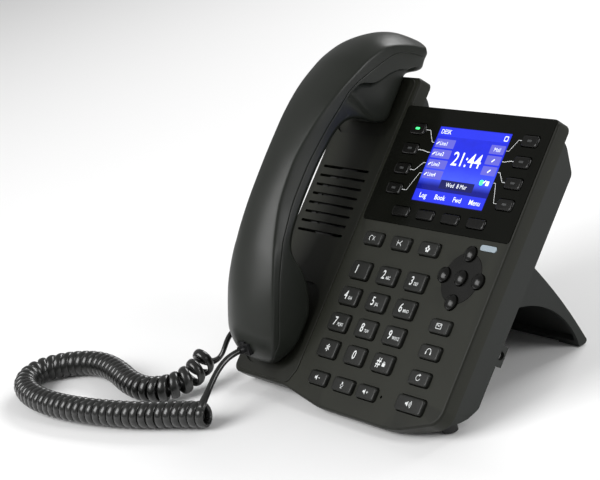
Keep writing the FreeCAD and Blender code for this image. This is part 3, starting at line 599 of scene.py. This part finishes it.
# each station: crest (up, out), underside (up, out), half width at the crease and at the lower edge,
# and how far the crown drops to the crease, in mm
HANDSET_STATIONS = [
    (-1.2, 3.2, -0.4, 0.4, 5.0, 5.6, 0.6), (-1.8, 6.5, 1.0, 0.3, 10.0, 11.0, 1.6),
    (-0.8, 12.0, 4.0, 0.3, 15.4, 16.0, 3.4), (2.0, 17.0, 8.0, 0.3, 18.6, 19.5, 4.8),
    (6.0, 21.3, 12.0, 0.3, 20.8, 21.6, 5.6), (11.0, 25.0, 17.0, 0.3, 22.0, 22.8, 6.0),
    (24.0, 31.5, 28.0, 0.3, 22.6, 23.0, 6.0), (34.0, 35.4, 34.0, 1.8, 22.0, 22.8, 5.2),
    (44.0, 38.7, 44.0, 7.5, 20.8, 22.0, 4.5), (51.0, 40.8, 50.8, 15.0, 19.6, 21.3, 4.2),
    (56.0, 42.0, 55.5, 23.6, 18.6, 20.6, 4.0), (64.0, 43.7, 64.0, 28.2, 17.2, 19.6, 3.4),
    (80.0, 46.0, 80.0, 29.6, 15.0, 18.2, 2.6), (101.0, 46.8, 104.0, 30.0, 14.2, 18.0, 2.0),
    (115.0, 46.1, 118.0, 29.4, 15.2, 18.4, 1.8), (127.0, 45.0, 129.0, 28.2, 16.8, 19.2, 1.8),
    (137.0, 43.6, 137.0, 24.6, 18.2, 20.4, 2.0), (146.0, 41.8, 141.0, 17.0, 19.6, 21.6, 2.3),
    (154.0, 39.9, 144.0, 6.0, 20.6, 22.4, 2.8), (162.0, 37.6, 148.0, 0.3, 21.3, 22.9, 3.4),
    (171.0, 34.6, 157.0, 0.3, 21.7, 23.0, 4.0), (180.0, 29.8, 168.0, 0.3, 21.7, 22.9, 4.4),
    (187.5, 24.2, 176.0, 0.3, 21.4, 22.6, 4.4), (194.0, 16.6, 180.8, -4.6, 21.0, 22.2, 4.0),
    (198.2, 8.6, 184.0, -7.1, 20.5, 21.6, 3.2), (200.0, 1.0, 189.0, -7.1, 20.0, 20.9, 2.0),
    (200.7, -4.8, 197.4, -7.1, 19.2, 19.8, 0.6),
]
SEAM = [(-12, 5), (8, 12), (24, 21.5), (40, 28.5), (60, 34.5), (82, 37), (104, 37.3), (126, 36),
        (150, 33.5), (158, 30.6), (165, 26.8), (174.4, 21.2), (180.2, 17.2), (185, 13), (188.8, 7.6),
        (191.4, 2), (193.6, -4.5), (195, -11)]
EAR_CAP_EDGE = [(140, 45), (152, 38), (155.7, 32), (159, 26.5), (160.8, 21.5), (163.9, 18.5),
                (170.8, 14.0), (175.8, 8.6), (178.7, 1.6), (180.4, -4.0), (181, -12)]
TIP_BOW = 4.4                  # how far the ear end's middle stands past its corners, mm
CAP_SET_IN = 3.4               # how far the ear cap's flank stands in from the handset's, mm
HANDSET_FLOOR = 0.3            # the resting handset's face lies this far above the keypad's surface, mm
SLOT_CORNER, SLOT_OUT, SLOT_IN = 0.95, 0.2, 0.4
CROSSING_STEPS = 400
STEPS_BETWEEN_STATIONS = 4


def between(before, start, end, after, share):
    """A smooth step from start to end that heeds the neighbours on both sides."""
    return 0.5 * (2 * start + (end - before) * share
                  + (2 * before - 5 * start + 4 * end - after) * share ** 2
                  + (3 * start - before - 3 * end + after) * share ** 3)


def filled_in(stations, steps):
    """More stations along the handset, on smooth lines through the given ones."""
    rows = []
    last = len(stations) - 1
    for index in range(last):
        around = [stations[max(0, min(last, index + offset))] for offset in (-1, 0, 1, 2)]
        for step in range(steps):
            rows.append([between(*column, step / steps) for column in zip(*around)])
    rows.append(list(stations[-1]))
    return rows


BELOW_EVERYTHING = -20.0


def height_of(line, up):
    """How far out a line on the flank lies at a place along the handset."""
    for (low, start), (high, end) in zip(line, line[1:]):
        if low <= up <= high:
            return start + (end - start) * (up - low) / (high - low)
    return BELOW_EVERYTHING


def crossing(line, crest, floor, length, low, high):
    """How far up a section a line drawn on the flank crosses it."""
    found = low
    for step in range(CROSSING_STEPS + 1):
        spot = floor + (crest - floor) * (step / CROSSING_STEPS)
        if spot.y <= height_of(line, spot.x):
            found = length * step / CROSSING_STEPS
    return max(low, min(high, found))


def handset_section(station):
    """Half outlines of the outer and inner shell at one station, as (across, up the section)."""
    crest_y, crest_z, floor_y, floor_z, crease, lower, drop = station
    crest, floor = Vector((crest_y, crest_z)), Vector((floor_y, floor_z))
    length = (crest - floor).length
    crease_up = length - min(drop, length * 0.5)
    edge = min(3.2, length * 0.28)
    seam = crossing(SEAM, crest, floor, length, edge + length * 0.08, crease_up - length * 0.1)
    cap_edge = crossing(EAR_CAP_EDGE, crest, floor, length, edge + length * 0.02, seam - length * 0.04)
    set_in = CAP_SET_IN * eased(crest_y, 147, 155) * (1 - eased(floor_y, 177, 181.5))

    def side(up):
        """Half width of the flank, which swells slightly between crease and lower edge."""
        share = (crease_up - up) / (crease_up - edge)
        return crease + (lower - crease) * share + 0.5 * math.sin(math.pi * share)

    crown = [(crease * share, length - (length - crease_up) * share ** 2.3)
             for share in (0, 0.2, 0.4, 0.6, 0.78, 0.9, 0.97)]
    gap, lip = min(0.16, length * 0.01), min(0.9, crease * 0.1)
    flank = [crease_up + (seam - crease_up) * share for share in (0.08, 0.3, 0.6, 0.92)]
    outer = crown + [(side(up), up) for up in flank]
    outer += [(side(seam), seam + gap), (side(seam) - lip * 0.25, seam + gap * 0.6),
              (side(seam) - lip, seam + gap * 0.6)]
    inner = [(side(seam) - lip, seam - gap * 0.6), (side(seam) - lip * 0.25, seam - gap * 0.6),
             (side(seam), seam - gap)]
    inner += [(side(up), up) for up in (seam + (cap_edge - seam) * share for share in (0.1, 0.5, 0.9))]
    inner.append((side(cap_edge), cap_edge))
    inner += [(side(cap_edge) - set_in * share, cap_edge - min(0.5, length * 0.01) * share)
              for share in (0.2, 0.9)]
    foot = lower - set_in
    inner += [(side(up) - set_in, up)
              for up in (cap_edge + (edge - cap_edge) * share for share in (0.1, 0.6))]
    inner += [(foot - edge * (1 - math.cos(angle)), edge * (1 - math.sin(angle)))
              for angle in (0.0, 0.5, 1.05, math.pi / 2)]
    inner += [(foot * share * 0.8, 0.0) for share in (0.66, 0.33, 0)]
    return crest, floor, length, outer, inner


def shell(name, sections, pick, node_name):
    """One of the handset's two shells, as a strip of sections closed at both ends."""
    points, rows = [], []
    for crest, floor, length, *halves in sections:
        half = halves[pick]
        middle_last = pick == 1
        mirrored = [(-across, up) for across, up in reversed(half)]
        line = half + mirrored[1:] if middle_last else mirrored[:-1] + half
        row = []
        for across, up in line:
            spot = floor + (crest - floor) * (up / length)
            spot.x -= TIP_BOW * eased(spot.x, 180, 200) * (across / 20) ** 2
            row.append(len(points))
            points.append(on_face(HANDSET_MIDDLE + across, spot.x, spot.y))
        rows.append(row)
    faces = []
    for low, high in zip(rows, rows[1:]):
        for step in range(len(low) - 1):
            faces.append((low[step], low[step + 1], high[step + 1], high[step]))
    faces.append(tuple(reversed(rows[0])))
    faces.append(tuple(rows[-1]))
    made = piece(name, points, faces, FINISHES["handset_plastic"], "handset", "handset_plastic")
    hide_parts(node_name)
    return soften(made)


def dark_slot(name, across, up, width, depth):
    """A slot in the handset's face, drawn as a thin black inlay: painted shade in the slot's hollow."""
    ring = rounded_ring(width, depth, SLOT_CORNER)
    points, faces = stacked_rings(face_matrix(across, up, HANDSET_FLOOR),
                                  [(ring, -SLOT_OUT), (ring, SLOT_IN)])
    piece(name, points, faces, FINISHES["slot_shadow"], "handset", "speaker_metal")


def make_handset():
    stations = filled_in(HANDSET_STATIONS, STEPS_BETWEEN_STATIONS)
    sections = [handset_section(station) for station in stations]
    shell("handset_back_shell", sections, 0, "handset_outer_shell")
    shell("handset_face_shell", sections, 1, "handset_inner_shell")
    for step in range(5):
        dark_slot(f"ear_slot_{step + 1}", HANDSET_MIDDLE + 5 * (step - 2), 163, 2, 14)
    dark_slot("talk_slot", HANDSET_MIDDLE, 17, 12, 2)


# ---------------------------------------------------------------- keys
# the dial keys in reading order, with what is printed on each
DIGITS = {"one": ("1", ""), "two": ("2", "ABC"), "three": ("3", "DEF"), "four": ("4", "GHI"),
          "five": ("5", "JKL"), "six": ("6", "MNO"), "seven": ("7", "PQRS"), "eight": ("8", "TUV"),
          "nine": ("9", "WXYZ"), "star": ("*", ""), "zero": ("0", ""), "hash": ("#", "")}
COLUMNS = (-13.9, 9.8, 33.5)
DIAL_TOP, DIAL_PITCH = 61.3, 15.14
RIGHT_COLUMN = 65.0
LINE_TOP, LINE_PITCH = 145.3, 11.75
# width, depth and height above the face
LINE_KEY = (12.4, 6.2, 1.2)
SOFT_KEY = (14.0, 5.6, 1.2)
SMALL_KEY = (15.4, 7.6, 2.0)
DIAL_KEY = (16.0, 10.2, 2.0)
KEY_FOOT = -3.9                # the caps reach this far into the cover


def key_list():
    """Every square key as name: (across, up, width, depth, height above the face)."""
    keys = {}
    for number in range(4):
        up = LINE_TOP - number * LINE_PITCH
        for side, across in (("left", -14.7), ("right", 75.5)):
            keys[f"line_key_{side}_{number + 1}"] = (across, up, *LINE_KEY)
        keys[f"soft_key_{number + 1}"] = (-1.4 + number * 20.5, 97.8, *SOFT_KEY)
    for across, name in zip(COLUMNS, ("hold_key", "conference_key", "directory_key")):
        keys[name] = (across, 80.0, *SMALL_KEY)
    for index, name in enumerate(DIGITS):
        row, column = divmod(index, 3)
        keys[f"dial_{name}"] = (COLUMNS[column], DIAL_TOP - row * DIAL_PITCH, *DIAL_KEY)
    for name, up in (("message_key", 41.6), ("headset_key", 27.7), ("redial_key", 13.6)):
        keys[name] = (RIGHT_COLUMN, up, *SMALL_KEY)
    keys["speaker_key"] = (RIGHT_COLUMN + 0.8, -0.4, 21.0, 8.6, 2.0)
    keys["volume_down_key"] = (COLUMNS[0] + 2.0, -0.8, *SMALL_KEY)
    keys["mute_key"] = (COLUMNS[1] + 0.2, -0.8, 17.0, 7.6, 2.0)
    keys["volume_up_key"] = (COLUMNS[2] - 3.3, -0.8, *SMALL_KEY)
    return keys


KEYS = key_list()


def make_key(name, across, up, width, depth, height):
    """A moulded key cap with drafted sides and rolled edges."""
    levels = [(0.0, KEY_FOOT), (0.0, 0.1), (0.12, height - 0.75), (0.2, height - 0.42),
              (0.42, height - 0.16), (0.78, height - 0.03), (1.2, height)]
    rings = [(rounded_ring(width - 2 * inset, depth - 2 * inset, max(0.7, 1.7 - inset * 0.7)), level)
             for inset, level in levels]
    points, faces = stacked_rings(face_matrix(across, up, 0), rings)
    on_panel = name.startswith(("line_key", "soft_key"))
    finish = FINISHES["gloss_black" if on_panel else "key_plastic"]
    cap = piece(name + "_cap", points, faces, finish, name + "_body", "key_plastic")
    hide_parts(name)


# ---------------------------------------------------------------- printing
def lettering(words, across, up, size, lean=0.0, weight=0.0, narrow=1.0, anchor="CENTER"):
    """Flat letters as (points, faces) in a drawing's mm."""
    curve = bpy.data.curves.new("words", "FONT")
    curve.body = words
    curve.size = size
    curve.shear = lean
    curve.offset = weight
    curve.align_x, curve.align_y = anchor, "CENTER"
    curve.resolution_u = 4
    mesh = bare_mesh(curve)
    points = [(across + corner.co.x * narrow, up + corner.co.y) for corner in mesh.vertices]
    faces = [tuple(polygon.vertices) for polygon in mesh.polygons]
    bpy.data.meshes.remove(mesh)
    return points, faces


def filled(outline):
    """A flat shape inside an outline."""
    return list(outline), [tuple(range(len(outline)))]


def disc(across, up, radius, count=20):
    return filled([(across + radius * math.cos(2 * math.pi * step / count),
                    up + radius * math.sin(2 * math.pi * step / count)) for step in range(count)])


def stroke(points, width):
    """A line of even width through points, as one flat band."""
    spots = [Vector(point) for point in points]
    left, right = [], []
    for index, spot in enumerate(spots):
        ahead = (spots[min(index + 1, len(spots) - 1)] - spots[max(index - 1, 0)]).normalized()
        square = Vector((-ahead.y, ahead.x)) * (width / 2)
        left.append(tuple(spot + square))
        right.append(tuple(spot - square))
    count = len(spots)
    faces = [(step, count + step, count + step + 1, step + 1) for step in range(count - 1)]
    return left + right, faces


def arc(across, up, radius, start, end, width, count=14):
    angles = [math.radians(start + (end - start) * step / count) for step in range(count + 1)]
    spots = [(across + radius * math.cos(angle), up + radius * math.sin(angle)) for angle in angles]
    return stroke(spots, width)


def outlined(left, low, right, high, width):
    """A rectangle's four sides."""
    corners = [(left, low), (right, low), (right, high), (left, high), (left, low)]
    return [stroke(side, width) for side in zip(corners, corners[1:])]


def printed(name, drawings, across, up, out, finish, body, slot):
    """Joins flat drawings into one printed mark on the face."""
    place = face_matrix(across, up, out + PRINT_RISE)
    points, faces = [], []
    for drawing_points, drawing_faces in drawings:
        offset = len(points)
        points += [place @ Vector((x, y, 0)) for x, y in drawing_points]
        faces += [tuple(offset + corner for corner in face) for face in drawing_faces]
    return piece(name, points, faces, finish, body, slot, smooth=False)


def small_speaker(across):
    upper = [(across + 0.5, 1.4), (across - 0.6, 0.55), (across - 1.5, 0.55)]
    lower = [(x, -up) for x, up in reversed(upper)]
    return [filled(lower + upper)]


def icons():
    """Drawings for the keys that carry a symbol."""
    ink = 0.34
    return {
        "hold_key": [arc(-0.9, -0.2, 1.5, 60, 240, ink), stroke([(0.5, 1.0), (2.0, -1.1)], ink),
                     stroke([(0.6, -1.1), (1.9, 1.0)], ink)],
        "conference_key": [stroke([(-1.7, -1.5), (-1.7, 1.5)], ink), stroke([(-1.7, 0), (0.2, 0)], ink),
                           stroke([(0.2, 0), (1.7, 1.4)], ink), stroke([(0.2, 0), (1.7, -1.4)], ink)],
        "directory_key": [disc(0, 1.0, 0.75), disc(-1.15, -0.2, 0.7), disc(1.15, -0.2, 0.7),
                          disc(-0.6, -1.35, 0.65), disc(0.6, -1.35, 0.65)],
        "message_key": outlined(-2, -1.35, 2, 1.35, ink) + [
            stroke([(-2, 1.35), (0, -0.2)], ink), stroke([(0, -0.2), (2, 1.35)], ink)],
        "headset_key": [arc(0, -0.1, 1.8, 0, 180, ink), stroke([(-1.8, -0.1), (-1.8, -1.5)], 0.7),
                        stroke([(1.8, -0.1), (1.8, -1.5)], 0.7)],
        "redial_key": [arc(0, 0, 1.5, 60, 350, ink),
                       filled([(0.3, 2.3), (0.3, 0.7), (1.6, 1.5)])],
        "speaker_key": small_speaker(-1.2) + [arc(-0.6, 0, radius, -45, 45, ink)
                                              for radius in (1.0, 1.8, 2.6)],
        "volume_down_key": small_speaker(-0.6) + [stroke([(0.9, 0), (2.3, 0)], ink)],
        "volume_up_key": small_speaker(-0.6) + [stroke([(0.9, 0), (2.3, 0)], ink),
                                                stroke([(1.6, -0.7), (1.6, 0.7)], ink)],
        "mute_key": [stroke([(0, 0.1), (0, 1.5)], 0.95), arc(0, 0.1, 1.15, 180, 360, ink * 0.8),
                     stroke([(0, -1.0), (0, -1.8)], ink), stroke([(-0.7, -1.8), (0.7, -1.8)], ink)],
    }


DIGIT_SIZE, LETTER_SIZE = 6.8, 2.5
DIGIT_LEFT = -2.4              # the digits' shift to the left of the key's middle


def make_legends():
    ink = FINISHES["legend_ink"]
    for name, drawings in icons().items():
        across, up, _, _, height = KEYS[name]
        printed(f"{name}_mark", drawings, across, up, height, ink, name + "_body", "key_plastic")
    for name, (digit, letters) in DIGITS.items():
        across, up, _, _, height = KEYS[f"dial_{name}"]
        shift = 0.0 if name in ("star", "zero") else DIGIT_LEFT
        tall = {"star": 9.0, "hash": 7.4}.get(name, DIGIT_SIZE)
        drawings = [lettering(digit, shift, 0 if name != "star" else -1.6, tall, 0.12, 0.08, 0.82)]
        if letters:
            drawings.append(lettering(letters, 0.2, -1.2, LETTER_SIZE, 0.0, 0.03, 0.8, "LEFT"))
        if name == "hash":
            drawings += [bar(1.0, -1.7, 2.4, 1.8, 0.3), arc(2.2, 0.1, 0.75, 0, 180, 0.35)]
        printed(f"dial_{name}_mark", drawings, across, up, height, ink, f"dial_{name}_body",
                "key_plastic")


# ---------------------------------------------------------------- display
SCREEN_LEFT, SCREEN_LOW, SCREEN_WIDTH, SCREEN_HEIGHT = 2.7, 105.0, 57.6, 43.2
GLASS_TOP = 0.3
LAYER = 0.03                   # each layer of marks stands this far above the one below, mm
LABEL_LOW, LABEL_DEPTH, LABEL_PITCH = 31.2, 5.0, 6.0
LABEL_MIDDLE = 33.6
LEADER_MIDDLE = 33.7
LEADER_WIDTH = 0.32


def bar(left, low, width, height, radius=0.4):
    ring = rounded_ring(width, height, radius)
    return filled([(left + width / 2 + x, low + height / 2 + y) for x, y in ring])


def on_screen(name, drawings, finish, layer):
    """Marks drawn from the display's lower left corner, in mm."""
    return printed(name, drawings, SCREEN_LEFT, SCREEN_LOW, GLASS_TOP + LAYER * layer, finish, "base",
                   "display_gloss")


def make_display():
    on_screen("screen_backdrop", [bar(0, 0, SCREEN_WIDTH, SCREEN_HEIGHT, 0.3)], SCREEN_PICTURE, 0)
    on_screen("screen_bars", [bar(0.3, 37.9, 57, 5.0), bar(0.3, 0.3, 57, 6.6)], SCREEN_BAR, 1)
    labels = [bar(1.2, LABEL_LOW - LABEL_PITCH * row, 15.5, LABEL_DEPTH) for row in range(4)]
    labels += [bar(45.4, LABEL_LOW - LABEL_PITCH * row, 11.2, LABEL_DEPTH) for row in range(3)]
    on_screen("screen_labels", labels, SCREEN_LABEL, 1)
    on_screen("screen_horizon", [bar(17.6, 8.6, 27, 5.0, 0.2)], SCREEN_DARK, 1)
    words = [lettering("21:44", 31.0, 25.6, 11.2, 0, 0.05, 0.95),
             lettering("DESK", 2.0, 40.3, 3.6, 0, 0.02, 1, "LEFT"),
             lettering("Mail", 51.0, LABEL_MIDDLE, 3.2), lettering("Wed  8 Mar", 31.0, 11.0, 3.4)]
    for row in range(4):
        up = LABEL_MIDDLE - LABEL_PITCH * row
        words.append(lettering(f"Line{row + 1}", 4.6, up, 3.2, 0, 0.02, 0.95, "LEFT"))
    words += [lettering(word, 8 + 14 * place, 3.5, 4.0, 0, 0.03) for place, word in
              enumerate(("Log", "Book", "Fwd", "Menu"))]
    words += [stroke([(2.0, 32.9 - LABEL_PITCH * row), (3.9, 34.4 - LABEL_PITCH * row)], 0.7)
              for row in range(4)]
    words += [stroke([(50.2, 26.8 - LABEL_PITCH * row), (52.0, 28.4 - LABEL_PITCH * row)], 0.8)
              for row in range(3)]
    words += outlined(53.2, 39.0, 55.8, 41.4, 0.5)
    words.append(bar(52.4, 13.6, 2.4, 2.6, 0.3))
    on_screen("screen_words", words, SCREEN_WHITE, 2)
    on_screen("screen_ready_mark", [bar(47.6, 13.6, 2.6, 2.8, 0.8)], GREEN_LAMP, 2)


def make_panel_marks():
    """Leader lines from the line keys to the display, and the small lamps in the keys."""
    leaders = []
    for row in range(4):
        key_up = LINE_TOP - row * LINE_PITCH
        label_up = SCREEN_LOW + LEADER_MIDDLE - LABEL_PITCH * row
        for key_end, turn, bend, label_end in ((-8.2, -4.6, 0.6, 2.3), (69.0, 66.6, 62.4, 60.6)):
            spots = [(key_end, key_up), (turn, key_up), (bend, label_up), (label_end, label_up)]
            leaders.append(stroke(spots, LEADER_WIDTH))
    printed("leader_lines", leaders, 0, 0, GLASS_TOP, FINISHES["legend_ink"], "base", "display_gloss")
    for side in ("left", "right"):
        for row in range(4):
            name = f"line_key_{side}_{row + 1}"
            across, up, _, _, height = KEYS[name]
            lamp = side == "left" and row == 0
            printed(f"{name}_lamp", [bar(-1.7, -0.6, 3.4, 1.2, 0.55)], across, up, height,
                    GREEN_LAMP if lamp else FINISHES["unlit_mark"], name + "_body", "lamp_lens")


# ---------------------------------------------------------------- build
make_camera()
make_cord()
make_room()
finish_frame()
make_handset()
for key_name, key_sizes in KEYS.items():
    make_key(key_name, *key_sizes)
make_legends()
make_display()
make_panel_marks()
